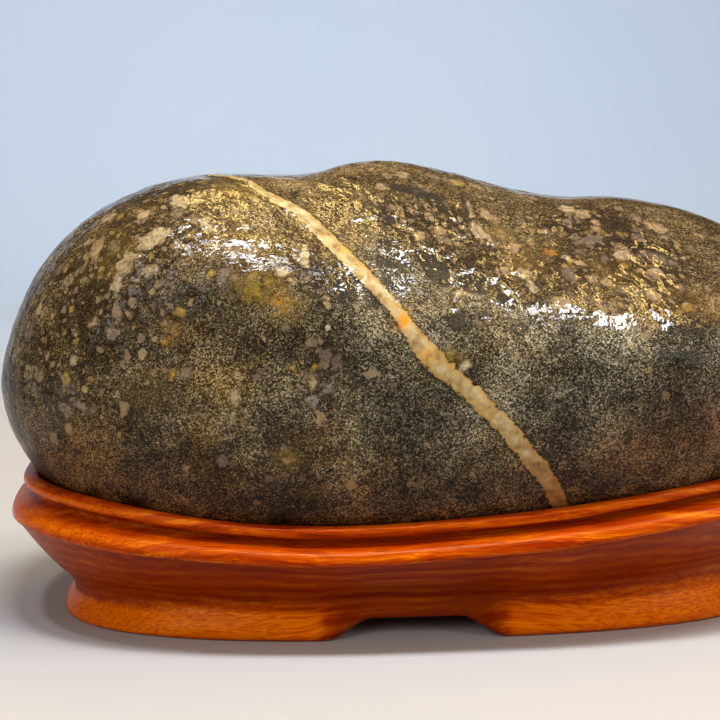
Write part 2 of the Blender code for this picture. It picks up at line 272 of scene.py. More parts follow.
def station_curve(stations):
    """The smooth open curve through (x, value) stations."""
    x0 = np.array([s[0] for s in stations], float)
    v = np.array([s[1] for s in stations], float)
    n = len(x0)
    width = np.diff(x0)
    slope = np.diff(v) / width
    system = np.eye(n)
    right = np.zeros(n)
    for i in range(1, n - 1):
        system[i, i - 1 : i + 2] = width[i - 1], 2 * (width[i - 1] + width[i]), width[i]
        right[i] = 6 * (slope[i] - slope[i - 1])
    bend = np.linalg.solve(system, right)

    def curve(x):
        x = np.clip(np.asarray(x, float), x0[0], x0[-1])
        i = np.clip(np.searchsorted(x0, x, side="right") - 1, 0, n - 2)
        a = x - x0[i]
        b = width[i] - a
        return (
            (bend[i] * b**3 + bend[i + 1] * a**3) / (6 * width[i])
            + (v[i] / width[i] - bend[i] * width[i] / 6) * b
            + (v[i + 1] / width[i] - bend[i + 1] * width[i] / 6) * a
        )

    return curve


def smooth_min(a, b, width):
    near = np.clip(1 - np.abs(a - b) / width, 0, 1)
    return np.minimum(a, b) - near**3 * width / 6


def hashed(cell, seed):
    """Four even random numbers in 0..1 for each row of whole numbers."""
    c = cell.astype(np.int64).astype(np.uint64)
    h = c[:, 0] * np.uint64(374761393) + c[:, 1] * np.uint64(668265263)
    h = h + c[:, 2] * np.uint64(2246822519) + np.uint64(seed * 3266489917 % 2**32)
    mask = np.uint64(0xFFFFFFFF)
    out = []
    for _ in range(4):
        h = (h ^ (h >> np.uint64(15))) & mask
        h = (h * np.uint64(2654435761)) & mask
        h = (h ^ (h >> np.uint64(13))) & mask
        h = (h * np.uint64(1597334677)) & mask
        h = (h ^ (h >> np.uint64(16))) & mask
        out.append(h.astype(float) / 4294967296.0)
    return np.stack(out, axis=1)


def noise(p, size, seed):
    """Smooth noise of about -1..1, whose lumps are about size across."""
    q = p / size
    i = np.floor(q)
    f = q - i
    u = f * f * f * (f * (f * 6 - 15) + 10)
    total = np.zeros(len(p))
    for corner in range(8):
        o = np.array((corner & 1, corner >> 1 & 1, corner >> 2 & 1))
        g = hashed(i + o, seed)[:, :3] * 2 - 1
        weight = np.prod(np.where(o == 1, u, 1 - u), axis=1)
        total += weight * (g * (f - o)).sum(1)
    return total * 1.7


def cells(p, size, seed):
    """For each point, the distance to the nearest scattered seed, how much further the second
    is, and four random numbers of the nearest one, with the way to it."""
    q = p / size
    i = np.floor(q)
    first = np.full(len(p), 9.0)
    second = np.full(len(p), 9.0)
    own = np.zeros((len(p), 4))
    way = np.zeros((len(p), 3))
    for dx in (-1, 0, 1):
        for dy in (-1, 0, 1):
            for dz in (-1, 0, 1):
                cell = i + (dx, dy, dz)
                at = cell + hashed(cell, seed)[:, :3]
                to = at - q
                d = np.sqrt((to**2).sum(1))
                nearer = d < first
                second = np.where(nearer, first, np.minimum(second, d))
                first = np.where(nearer, d, first)
                own[nearer] = hashed(cell[nearer], seed + 7)
                way[nearer] = to[nearer]
    return first * size, (second - first) * size, own, way * size


# ---- the stone's surface -------------------------------------------------------------------------
OUTLINE = np.array(STONE_OUTLINE, float) - (STONE_CENTRE[0], STONE_CENTRE[2])
outline_radius = periodic_spline(
    np.unwrap(np.arctan2(OUTLINE[:, 1], OUTLINE[:, 0])), np.hypot(OUTLINE[:, 0], OUTLINE[:, 1])
)


def stone_radius(d):
    """Distance from the stone's centre to its surface along unit directions d."""
    dx, dy, dz = d[:, 0], d[:, 1], d[:, 2]
    up = dz > 0
    lower = LOWER_ROUNDNESS + (LOWER_ROUNDNESS_RIGHT - LOWER_ROUNDNESS) * step(dx, -0.5, 0.6)
    e = np.where(up, UPPER_ROUNDNESS, lower)
    c = np.where(up, STONE_RISE, STONE_DROP)
    plan = (
        np.abs(dx / STONE_HALF_LENGTH) ** PLAN_ROUNDNESS
        + np.abs(dy / STONE_HALF_DEPTH) ** PLAN_ROUNDNESS
    ) ** (1 / PLAN_ROUNDNESS)
    r = (plan**e + np.abs(dz / c) ** e) ** (-1 / e)
    rho = np.maximum(np.hypot(dx, dz), 1e-6)
    ux, uz = dx / rho, dz / rho
    plain = (np.abs(ux / STONE_HALF_LENGTH) ** e + np.abs(uz / c) ** e) ** (-1 / e)
    r = r * (1 + (outline_radius(np.arctan2(uz, ux)) / plain - 1) * rho**2.5)
    for normal, point, width in STONE_FLATS:
        n = np.array(normal) / np.linalg.norm(normal)
        facing = d @ n
        reach = (np.array(point, float) - STONE_CENTRE) @ n
        flat = np.where(facing > 0.15, reach / np.maximum(facing, 0.15), 1e3)
        r = smooth_min(r, flat, width)
    p = STONE_CENTRE + d * r[:, None]
    for centre, spread, height in STONE_SWELLS:
        away = ((p - np.array(centre, float)) ** 2).sum(1)
        r = r + height * np.exp(-away / (2 * spread**2))
    return r


def outside_stone(p):
    """How far points lie outside the stone, measured from its centre."""
    v = p - STONE_CENTRE
    far = np.linalg.norm(v, axis=1)
    return far - stone_radius(v / far[:, None])


def camera_axes():
    pitch, yaw = math.radians(PITCH), math.radians(YAW)
    level = np.array((-math.sin(yaw), math.cos(yaw), 0.0))
    right = np.array((math.cos(yaw), math.sin(yaw), 0.0))
    ahead = level * math.cos(pitch) - np.array((0, 0, math.sin(pitch)))
    return right, np.cross(right, ahead), ahead


RIGHT, UP, AHEAD = camera_axes()


def seen(places):
    """The points of the stone that show at these (across, down) places of the frame."""
    at = np.array([p[:2] for p in places], float)
    d = AHEAD + RIGHT * (at[:, :1] - FRAME_SIZE / 2) / FOCAL - UP * (at[:, 1:] - FRAME_SIZE / 2) / FOCAL
    near = np.full(len(at), 300.0)
    found = np.zeros(len(at), bool)
    for far in np.arange(300.0, 560.0, 1.5):
        inside = (outside_stone(EYE + d * far) < 0) & ~found
        near[inside] = far
        found |= inside
    low, high = near - 1.5, near.copy()
    for _ in range(12):
        mid = (low + high) / 2
        inside = outside_stone(EYE + d * mid[:, None]) < 0
        high = np.where(inside, mid, high)
        low = np.where(inside, low, mid)
    return EYE + d * high[:, None], high, found


def stone_normals(p):
    """Outward normals of the plain stone at points of its surface."""
    h = 0.05
    grad = np.stack(
        [outside_stone(p + np.eye(3)[k] * h) - outside_stone(p - np.eye(3)[k] * h) for k in range(3)],
        axis=1,
    )
    return grad / np.linalg.norm(grad, axis=1, keepdims=True)


def mark_frames(marks):
    """For each mark, its place on the stone, the directions across and along it, and the length
    of one pixel of the frame there, across and along, in millimetres."""
    at, depth, found = seen(marks)
    n = stone_normals(at)
    pixel = depth / FOCAL
    across = RIGHT - n * (n @ RIGHT)[:, None]
    across /= np.linalg.norm(across, axis=1, keepdims=True)
    along = np.cross(n, across)
    tilt = np.maximum(np.abs(along @ UP), 0.42)
    return at, across, along, pixel, pixel / tilt, found


def box_ball(steps):
    """Points and squares of a box of unit squares, each point once, as directions -1..1."""
    nx, ny, nz = steps
    grids = []
    for axis, (a, b) in ((0, (ny, nz)), (1, (nx, nz)), (2, (nx, ny))):
        u, v = np.meshgrid(np.arange(a + 1), np.arange(b + 1), indexing="ij")
        for side in (0, steps[axis]):
            point = np.insert(np.stack([u, v], axis=-1), axis, side, axis=-1)
            quads = np.stack([point[:-1, :-1], point[1:, :-1], point[1:, 1:], point[:-1, 1:]], axis=2)
            if (side == 0) != (axis == 1):
                quads = quads[:, :, ::-1]
            grids.append(quads.reshape(-1, 4, 3))
    corners = np.concatenate(grids).reshape(-1, 3)
    points, index = np.unique(corners, axis=0, return_inverse=True)
    unit = points / np.array(steps) * 2 - 1
    ball = np.tan(unit * math.pi / 4)
    ball /= np.linalg.norm(ball, axis=1, keepdims=True)
    return ball, index.reshape(-1, 4)


def vertex_normals(points, quads):
    a, b, c, d = (points[quads[:, k]] for k in range(4))
    face = np.cross(c - a, d - b)
    total = np.zeros_like(points)
    for k in range(4):
        np.add.at(total, quads[:, k], face)
    return total / np.linalg.norm(total, axis=1, keepdims=True)


def make_object(name, points, faces, attributes):
    mesh = bpy.data.meshes.new(name)
    mesh.from_pydata((points * MM).tolist(), [], faces)
    mesh.shade_smooth()
    for key, values in attributes.items():
        layer = mesh.attributes.new(key, "FLOAT", "POINT")
        layer.data.foreach_set("value", np.asarray(values, np.float32))
    obj = bpy.data.objects.new(name, mesh)
    bpy.context.scene.collection.objects.link(obj)
    return obj


def fragment_field(p, marks):
    """How deep each point lies inside the nearest of the angular fragments, in millimetres, with
    its tone. Outside it is negative."""
    at, across, along, px, py, found = mark_frames(marks)
    deep = np.full(len(p), -6.0)
    tone = np.zeros(len(p))
    for k, mark in enumerate(marks):
        if not found[k]:
            continue
        reach = max(mark[2] * px[k], mark[3] * py[k])
        v = p - at[k]
        near = np.flatnonzero((v**2).sum(1) < (reach + 4) ** 2)
        if not len(near):
            continue
        v = v[near]
        x, y = v @ across[k], v @ along[k]
        turn = math.radians(mark[4])
        x, y = x * math.cos(turn) + y * math.sin(turn), y * math.cos(turn) - x * math.sin(turn)
        a, b = mark[2] * px[k], mark[3] * py[k]
        # a lopsided polygon with five to seven sides
        rnd = hashed(np.array([[k, 11, 5], [k, 23, 9]]), 41)
        sides = 5 + int(rnd[0, 0] * 3)
        start = rnd[0, 1] * 6.28
        e = np.full(len(near), 9.0)
        for s in range(sides):
            angle = start + s * 6.2832 / sides + (rnd[1, s % 4] - 0.5) * 0.5
            cx, cy = math.cos(angle), math.sin(angle)
            r = 0.84 + 0.22 * rnd[(s + 1) % 2, (s + k) % 4]
            scale = 1 / math.hypot(cx / a, cy / b)
            e = np.minimum(e, (r - (x / a * cx + y / b * cy)) * scale)
        better = e > deep[near]
        hit = near[better]
        deep[hit] = e[better]
        tone[hit] = mark[6]
    return deep, tone


def soft_field(p, marks, power=1.0):
    """Soft patches: the strongest at each point, and its last value."""
    at, across, along, px, py, found = mark_frames(marks)
    strength = np.zeros(len(p))
    value = np.zeros(len(p))
    for k, mark in enumerate(marks):
        if not found[k]:
            continue
        v = p - at[k]
        x, y = v @ across[k], v @ along[k]
        z = np.sqrt(np.maximum((v**2).sum(1) - x * x - y * y, 0))
        turn = math.radians(mark[4])
        x, y = x * math.cos(turn) + y * math.sin(turn), y * math.cos(turn) - x * math.sin(turn)
        a, b = mark[2] * px[k], mark[3] * py[k]
        s = mark[5] * np.exp(-((x / a) ** 2 + (y / b) ** 2 + (z / max(a, b)) ** 2) ** power)
        value = np.where(s > strength, mark[6] if len(mark) > 6 else 0.0, value)
        strength = np.maximum(strength, s)
    return strength, value


def make_stone():
    ball, quads = box_ball(STONE_STEPS)
    d = ball * (STONE_HALF_LENGTH, STONE_HALF_DEPTH, STONE_DROP)
    d /= np.linalg.norm(d, axis=1, keepdims=True)
    p = STONE_CENTRE + d * stone_radius(d)[:, None]
    normal = vertex_normals(p, quads)
    outward = (normal * (p - STONE_CENTRE)).sum(1).mean() > 0
    if not outward:
        quads = quads[:, ::-1]
        normal = -normal
    x, y, z = p.T

    # the vein
    run = (p - VEIN_POINT) @ VEIN_RUN
    side = (p - VEIN_POINT) @ VEIN_NORMAL - station_curve(VEIN_BEND)(run)
    side += 0.35 * noise(p, 9.0, 3) + 0.18 * noise(p, 3.2, 4)
    step_aside = 1.0 * step(run, -54.2, -53.4)  # a tiny fault shifts it near the top
    side = side + 0.7 - step_aside * 0.7
    half = station_curve(VEIN_HALF)(run) * (0.86 + 0.16 * noise(p, 8.0, 5))
    in_vein = half - np.abs(side)

    # regions: the breccia and the cap, whose brown is partly painted warm light from above
    front = step(-y, -30, 5)
    shoulder = station_curve(SHOULDER)(x) + 4.0 * noise(p, 22.0, 9) + 2.0 * noise(p, 8.0, 10)
    cap = step(z - shoulder, -5, 5)
    at, depth, found = seen(BRECCIA)
    breccia = np.zeros(len(p))
    for k, mark in enumerate(BRECCIA):
        away = ((p - at[k]) ** 2).sum(1)
        breccia = np.maximum(breccia, mark[3] * np.exp(-away / (2 * (mark[2] * 0.62) ** 2)))
    patches = step(noise(p, 34.0, 21) + 0.5 * noise(p, 15.0, 22), 0.12, 0.5)
    breccia = np.maximum(breccia, 0.7 * patches * (1 - front) * step(z, 45, 75))
    breccia = np.clip(1.45 * breccia * (1 + 0.6 * noise(p, 7.0, 23)), 0, 1)

    pale, pale_tone = fragment_field(p, [m for m in FRAGMENTS if m[5] == "pale"])
    grey, grey_tone = fragment_field(p, [m for m in FRAGMENTS if m[5] == "grey"])
    stain, stain_tone = soft_field(p, STAINS)
    lens, lens_depth = soft_field(p, [(*m[:5], 1.0, m[5]) for m in LENSES], power=2.5)

    wet = np.clip(0.2 + 0.9 * cap + 0.5 * lens, 0, 1)
    # brown: the rock's own brown at the left end, painted warm light from above on the cap, and painted orange bounce
    # light from the wood near the seat
    brown = 0.8 * cap + 0.45 * step(-x, 0, 75) + 0.5 * step(-x, 84, 108) + 0.30 + 0.3 * step(-(z - station_curve(RIM_STATIONS)(x)), -28, 0)
    brown = np.clip(brown - 0.35 * step(x, 0, 40) * (1 - cap), 0, 1)

    # relief, outward in millimetres
    calm = step(x, 18, 52) * (0.35 + 0.65 * front)
    rough = np.clip(0.35 + 0.9 * cap + 0.8 * breccia, 0, 1.4) * (1 - 0.72 * calm)
    relief = 0.42 * noise(p, 26.0, 31) + 0.20 * noise(p, 13.0, 32)
    wild, _ = soft_field(p, WILD)
    wild = wild * (1 - 0.7 * calm)
    relief += (rough + 1.3 * wild) * (0.12 * noise(p, 6.0, 33) + 0.075 * noise(p, 3.1, 34))
    relief -= 0.55 * wild * step(noise(p, 7.5, 38), 0.25, 0.75)
    far, edge, own, way = cells(p + 0.8 * normal * noise(p, 5.0, 35)[:, None], 6.5, 51)
    plates = (own[:, 0] - 0.5) * 0.30 + (way * (own[:, 1:] - 0.5)).sum(1) * 0.075
    relief += rough * np.clip(breccia + 0.25, 0, 1) * plates * step(edge, 0.0, 1.3)
    relief -= rough * np.clip(breccia, 0, 1) * 0.22 * (1 - step(edge, 0.1, 1.0))
    relief += 0.28 * step(in_vein, -0.35, 0.55) + 0.05 * noise(p, 2.4, 36) * step(in_vein, 0, 0.5)
    relief += 0.12 * step(pale, -0.9, 0.9) + 0.08 * step(grey, -0.9, 0.9)
    lens_edge = np.exp(-((lens - 0.30) ** 2) / 0.02)
    relief += -0.45 * lens_depth * step(lens, 0.15, 0.8) + 0.10 * lens_edge * step(lens_depth, 0.4, 0.5)
    pits = cells(p, 9.0, 61)
    pit = np.exp(-((pits[0] / 1.1) ** 2)) * step(pits[2][:, 0], 0.62, 0.7)
    relief -= 0.45 * pit * (0.35 + 0.65 * cap)
    # near the seat the relief dies out, so that the stone stays clear of the wood
    rim = station_curve(RIM_STATIONS)(x)
    free = step(z - rim, -1.0, 7.0)
    relief = relief * (0.12 + 0.88 * free)
    relief = np.where(free < 0.5, np.minimum(relief, 0.30), relief)
    points = p + normal * relief[:, None]

    attributes = {
        "vein_side": side,
        "vein_half": half,
        "vein_run": run,
        "cap": cap,
        "brown": brown,
        "breccia": breccia,
        "pale": pale,
        "pale_tone": pale_tone,
        "grey": grey,
        "grey_tone": grey_tone,
        "stain": stain,
        "stain_tone": stain_tone,
        "lens": lens * (1 + 0.5 * step(lens_depth, 0.5, 0.7)),
        "wet": wet * (1 - 0.4 * calm * cap) * (1 - 0.5 * step(-x, 84, 112)),
        "choppy": 1
        - 0.75 * calm * (1 - 0.4 * wild)
        - 0.25 * step(x, -45, -15) * (1 - calm) * front
        + 0.55 * step(lens, 0.2, 0.7) * step(lens_depth, 0.5, 0.7),
        "pit": pit,
        "above_seat": z - rim - 15 * step(x, 10, 70),
        "dim": cap * step(x, -40, 10),
    }
    return make_object("stone_body", points, quads.tolist(), attributes)


# ---- the stand's surface -------------------------------------------------------------------------
rim_height = station_curve(RIM_STATIONS)
neck_height = station_curve(NECK_STATIONS)


def plan_points(phi, out):
    """Points of the stand's outline at angles phi, pushed outwards by out."""
    k = (np.abs(np.cos(phi)) ** STAND_ROUNDNESS + np.abs(np.sin(phi)) ** STAND_ROUNDNESS) ** (
        -1 / STAND_ROUNDNESS
    )
    return (FOOT_HALF_LENGTH + out) * np.cos(phi) * k, (FOOT_HALF_DEPTH + out) * np.sin(phi) * k


def stand_profile(phi):
    """The moulded profile, from the inside of the feet round to the rim, for all angles at once.
    Each row is (out, z, corner, steps to the next row, painted shade); the curve is sharp where
    corner is True, and the painted shade is how much darker the wood is coloured there, where shade
    falls; below 0 it is a painted highlight, coloured brighter where light falls."""
    x, _ = plan_points(phi, 0.0)
    from_gap = np.abs(x - GAP_MIDDLE)
    sole = GAP_CEILING * (1 - step(from_gap, GAP_HALF_WIDTH - GAP_OGEE, GAP_HALF_WIDTH))
    flare = step(from_gap, GAP_HALF_WIDTH - GAP_OGEE, GAP_HALF_WIDTH - GAP_OGEE + FLARE_FADE)
    # painted highlight on the feet away from the gap, painted shade beside the gap, where its shade falls
    lit = step(from_gap, GAP_HALF_WIDTH - 6.0, GAP_HALF_WIDTH + 3.0)
    shaded = 1.0 - lit
    rim = rim_height(x)
    neck = neck_height(x)
    stack = 1 + 0.24 * step(-x, 50, 92) + 0.12 * step(-x, 98, 122) + 0.10 * step(x, 80, 122)
    one = np.ones_like(x)

    def foot(out, z):
        return -NECK_INSET + (NECK_INSET + out) * flare, sole + (neck - sole) * z

    def below_rim(out, down):
        return out * one, rim - down * stack

    # each row's last value is painted shade: darker under the stand, beside the gap, in the cove, under the bead and in
    # the groove; below 0 a painted highlight on the upward faces of the feet
    rows = [
        (-(FOOT_BAND + 2.0) * one, UNDERSIDE * one, True, 8, 0.6),
        (-FOOT_BAND * one, sole, True, 8, 0.2),
        (foot(0, 0)[0] - 0.8, sole, True, 2, 0.3 * lit + 1.1 * shaded),
        (*foot(0, 0.07), False, 2, -0.4 * lit + 1.0 * shaded),
        (*foot(-0.1, 0.20), False, 3, -0.6 * lit + 0.95 * shaded),
        (*foot(-0.9, 0.42), False, 3, -0.6 * lit + 0.9 * shaded),
        (*foot(-2.2, 0.64), False, 3, -0.4 * lit + 0.9 * shaded),
        (*foot(-NECK_INSET, 0.82), False, 3, 0.2 * lit + 0.9 * shaded),
        (-NECK_INSET * one, neck, True, 3, 0.9),
    ]
    top_out, top_z = below_rim(13.5, 9.8)
    cove = ((0.975, 0.93, 0.9), (0.90, 0.83, 0.9), (0.72, 0.69, 0.85), (0.42, 0.43, 0.8), (0.0, 0.0, 1.0))
    for n, (across, up, painted_shade_and_highlight) in enumerate(cove):
        rows.append(
            (
                top_out - (top_out + NECK_INSET) * across,
                top_z + (neck - top_z) * up,
                n == 4,
                (3, 5, 9, 11, 2)[n],
                painted_shade_and_highlight,
            )
        )
    rows += [
        (*below_rim(BEAD_OUT, 9.2), False, 3, 0.35),
        (*below_rim(BEAD_OUT, 7.9), False, 4, 0.0),
        (*below_rim(13.6, 6.3), False, 6, 0.0),
        (*below_rim(9.4, 4.9), False, 4, 0.30),
        (*below_rim(GROOVE_OUT, 4.2), False, 3, 0.66),
        (*below_rim(GROOVE_OUT + 0.9, 3.1), False, 3, 0.5),
        (*below_rim(10.5, 2.3), False, 3, 0.15),
        (*below_rim(RIM_OUT, 1.3), False, 4, 0.0),
        (*below_rim(10.6, 0.3), False, 4, 0.0),
        (*below_rim(9.2, -0.3), False, 14, 0.0),
        (*below_rim(6.0, 0.0), False, 14, 0.1),
        (*below_rim(-6.0, 1.0), True, 0, 0.3),
    ]
    return rows


def fine_profile(phi):
    """The profile with smooth curves between its corners: (out, z, painted shade and highlight), each
    with one row for each point and one column for each angle."""
    rows = stand_profile(phi)
    at = np.array([[r[0], r[1]] for r in rows])
    out, up, painted_shade_and_highlight = [], [], []
    for j in range(len(rows) - 1):
        a, b = at[j], at[j + 1]
        chord = b - a
        length = np.maximum(np.hypot(*chord), 1e-6)

        def slope(k, chord=chord):
            if rows[k][2] or k in (0, len(rows) - 1):
                return chord
            before, after = at[k] - at[k - 1], at[k + 1] - at[k]
            lb = np.maximum(np.hypot(*before), 1e-6)
            la = np.maximum(np.hypot(*after), 1e-6)
            return (before / lb * la + after / la * lb) / (la + lb) * length

        start, end = slope(j), slope(j + 1)
        for s in range(rows[j][3]):
            t = s / rows[j][3]
            h = (2 * t**3 - 3 * t**2 + 1, t**3 - 2 * t**2 + t, 3 * t**2 - 2 * t**3, t**3 - t**2)
            q = a * h[0] + start * h[1] + b * h[2] + end * h[3]
            out.append(q[0])
            up.append(q[1])
            painted_shade_and_highlight.append((rows[j][4] + (rows[j + 1][4] - rows[j][4]) * t) * np.ones(at.shape[2]))
    return np.array(out), np.array(up), np.array(painted_shade_and_highlight)


def make_stand():
    fine = np.linspace(0, 2 * math.pi, 7201)
    gx, gy = plan_points(fine, 0.0)
    # even steps round the outline, closer at the curves beside the gap
    crowd = 1 + 1.2 * (
        1 - step(np.abs(np.abs(gx - GAP_MIDDLE) - (GAP_HALF_WIDTH - GAP_OGEE / 2)), GAP_OGEE * 0.5, GAP_OGEE)
    )
    run = np.concatenate([[0], np.cumsum(np.hypot(np.diff(gx), np.diff(gy)) * crowd[1:])])
    phi = np.interp((np.arange(STAND_SEGMENTS) + 0.5) / STAND_SEGMENTS, run / run[-1], fine)
    out, up, painted_shade_and_highlight = fine_profile(phi)
    x, y = plan_points(phi[None, :], out)
    rows = [np.stack([x[j], y[j], up[j]], axis=1) for j in range(len(out))]
    # painted highlight: the wood of the two ends is coloured lighter, where more light falls on it
    across, _ = plan_points(phi, 0.0)
    shade = list(painted_shade_and_highlight - 0.32 * step(-across, 60, 108) - 0.26 * step(across, 60, 108))
    count = len(rows)

    # over the rim the wood ends where it meets the stone, then follows the stone's underside
    gap = np.array([outside_stone(r) for r in rows])
    first_top = count - 32
    meet = np.full(STAND_SEGMENTS, count - 1.0)
    for c in range(STAND_SEGMENTS):
        inside = np.flatnonzero(gap[first_top:, c] < SEAT_CLEARANCE)
        if len(inside):
            j = first_top + inside[0]
            g0, g1 = gap[j - 1, c], gap[j, c]
            meet[c] = j - 1 + np.clip((g0 - SEAT_CLEARANCE) / max(g0 - g1, 1e-6), 0, 1)
    stack = np.array(rows)
    tops = 14
    top_rows = []
    for s in range(tops + 1):
        at = first_top - 1 + (meet - (first_top - 1)) * (s / tops) ** 0.9
        low = np.clip(np.floor(at).astype(int), 0, count - 2)
        t = (at - low)[:, None]
        c = np.arange(STAND_SEGMENTS)
        top_rows.append(stack[low, c] * (1 - t) + stack[low + 1, c] * t)
    rows = rows[: first_top - 1] + top_rows
    # painted shade: the wood is coloured darker at the very top, where it meets the stone
    shade = shade[: first_top - 1] + [
        np.full(STAND_SEGMENTS, 0.55 * max(0.0, s / tops - 0.7) / 0.3) for s in range(tops + 1)
    ]

    lip = rows[-1] - STONE_CENTRE
    lip /= np.linalg.norm(lip, axis=1, keepdims=True)
    down = np.array((0.0, 0.0, -1.0))
    for s in (0.02, 0.05, 0.1, 0.17, 0.25, 0.34, 0.43, 0.52, 0.61, 0.7, 0.79, 0.88, 0.95):
        d = lip * (1 - s) + down * s
        d /= np.linalg.norm(d, axis=1, keepdims=True)
        rows.append(STONE_CENTRE + d * (stone_radius(d) + SEAT_CLEARANCE + 0.15 * min(s / 0.05, 1))[:, None])
        # painted shade in the seat under the stone
        shade.append(np.full(STAND_SEGMENTS, 0.9))
    # under the stand, inward from the feet
    under = []
    for s in (0.12, 0.3, 0.5, 0.7, 0.88):
        ring = rows[0].copy()
        ring[:, :2] *= s
        under.append(ring)
    rows = under + rows
    # painted shade under the stand
    shade = [np.full(STAND_SEGMENTS, 0.7)] * len(under) + shade

    grid = np.array(rows)
    p = grid.reshape(-1, 3)
    n = STAND_SEGMENTS
    total = len(rows)
    j, i = np.meshgrid(np.arange(total - 1), np.arange(n), indexing="ij")
    k = (i + 1) % n
    quads = np.stack([j * n + i, j * n + k, (j + 1) * n + k, (j + 1) * n + i], axis=-1).reshape(-1, 4)
    normal = vertex_normals(p, quads)
    # small unevenness of the carving, none where it stands or where the stone sits
    row = np.repeat(np.arange(total), n)
    carved = (row > len(under) + 18) & (row < total - 18)
    wave = 0.16 * noise(p, 24.0, 71) + 0.06 * noise(p, 8.0, 72)
    wave += 0.02 * noise(p * (0.2, 1, 1), 1.6, 73)
    p = p + normal * (wave * carved)[:, None]

    points = np.vstack([p, [[0, 0, UNDERSIDE]], [STONE_CENTRE + down * (stone_radius(down[None])[0] + SEAT_CLEARANCE + 0.15)]])
    bottom, seat = len(p), len(p) + 1
    faces = quads.tolist()
    last = (total - 1) * n
    for i in range(n):
        faces.append([(i + 1) % n, i, bottom])
        faces.append([last + i, last + (i + 1) % n, seat])
    # painted shade at the middle of the underside and of the seat
    shade = np.concatenate([*shade, [0.7, 0.9]])
    return make_object("stand_wood_body", points, faces, {"painted_shade_and_highlight": shade})


# ---- materials -----------------------------------------------------------------------------------
def linear(r, g, b):
    """A colour given as it looks on a screen, 0..255, as the shaders want it."""
    out = []
    for c in (r, g, b):
        c /= 255
        out.append(c / 12.92 if c <= 0.04045 else ((c + 0.055) / 1.055) ** 2.4)
    return (*out, 1.0)


class Nodes:
    """Short ways to build a node material."""

    def __init__(self, name):
        self.material = bpy.data.materials.new(name)
        self.material.use_nodes = True
        self.tree = self.material.node_tree
        self.shader = self.tree.nodes["Principled BSDF"]
        self.place = self.new("ShaderNodeTexCoord").outputs["Object"]
        self.place = self.vector("MULTIPLY", self.place, (1000, 1000, 1000))

    def new(self, kind, **settings):
        node = self.tree.nodes.new(kind)
        for key, value in settings.items():
            setattr(node, key, value)
        return node

    def put(self, socket, value):
        if isinstance(value, bpy.types.NodeSocket):
            self.tree.links.new(value, socket)
        else:
            socket.default_value = value

    def vector(self, operation, a, b):
        node = self.new("ShaderNodeVectorMath", operation=operation)
        self.put(node.inputs[0], a)
        self.put(node.inputs[1], b)
        return node.outputs[0]

    def math(self, operation, a, b=0.0, clamp=False):
        node = self.new("ShaderNodeMath", operation=operation, use_clamp=clamp)
        self.put(node.inputs[0], a)
        self.put(node.inputs[1], b)
        return node.outputs[0]

    def attribute(self, name):
        return self.new("ShaderNodeAttribute", attribute_type="GEOMETRY", attribute_name=name).outputs["Fac"]

    def span(self, value, low, high, to_low=0.0, to_high=1.0, smooth=True):
        node = self.new("ShaderNodeMapRange", interpolation_type="SMOOTHSTEP" if smooth else "LINEAR")
        self.put(node.inputs["Value"], value)
        for key, number in (("From Min", low), ("From Max", high), ("To Min", to_low), ("To Max", to_high)):
            self.put(node.inputs[key], number)
        return node.outputs["Result"]

    def noise(self, scale, detail=2.0, roughness=0.5, distortion=0.0, at=None, colour=False):
        node = self.new("ShaderNodeTexNoise")
        self.put(node.inputs["Vector"], at or self.place)
        for key, number in (("Scale", scale), ("Detail", detail), ("Roughness", roughness), ("Distortion", distortion)):
            self.put(node.inputs[key], number)
        return node.outputs["Color" if colour else "Fac"]

    def voronoi(self, scale, feature="F1", at=None, randomness=1.0):
        node = self.new("ShaderNodeTexVoronoi", feature=feature)
        self.put(node.inputs["Vector"], at or self.place)
        self.put(node.inputs["Scale"], scale)
        self.put(node.inputs["Randomness"], randomness)
        return node.outputs["Distance"], node.outputs["Color"] if feature == "F1" else None

    def split(self, colour):
        node = self.new("ShaderNodeSeparateColor")
        self.put(node.inputs[0], colour)
        return node.outputs[0], node.outputs[1], node.outputs[2]

    def mix(self, share, a, b, blend="MIX"):
        node = self.new("ShaderNodeMix", data_type="RGBA", blend_type=blend)
        self.put(node.inputs[0], share)
        self.put(node.inputs[6], a)
        self.put(node.inputs[7], b)
        return node.outputs[2]

    def ramp(self, value, *stops):
        node = self.new("ShaderNodeValToRGB")
        ramp = node.color_ramp
        while len(ramp.elements) < len(stops):
            ramp.elements.new(0.5)
        for element, (place, colour) in zip(ramp.elements, stops):
            element.position = place
            element.color = colour
        self.put(node.inputs[0], value)
        return node.outputs[0]

    def bump(self, height, strength=1.0, distance=MM, normal=None):
        node = self.new("ShaderNodeBump")
        self.put(node.inputs["Height"], height)
        self.put(node.inputs["Strength"], strength)
        self.put(node.inputs["Distance"], distance)
        if normal is not None:
            self.put(node.inputs["Normal"], normal)
        return node.outputs[0]


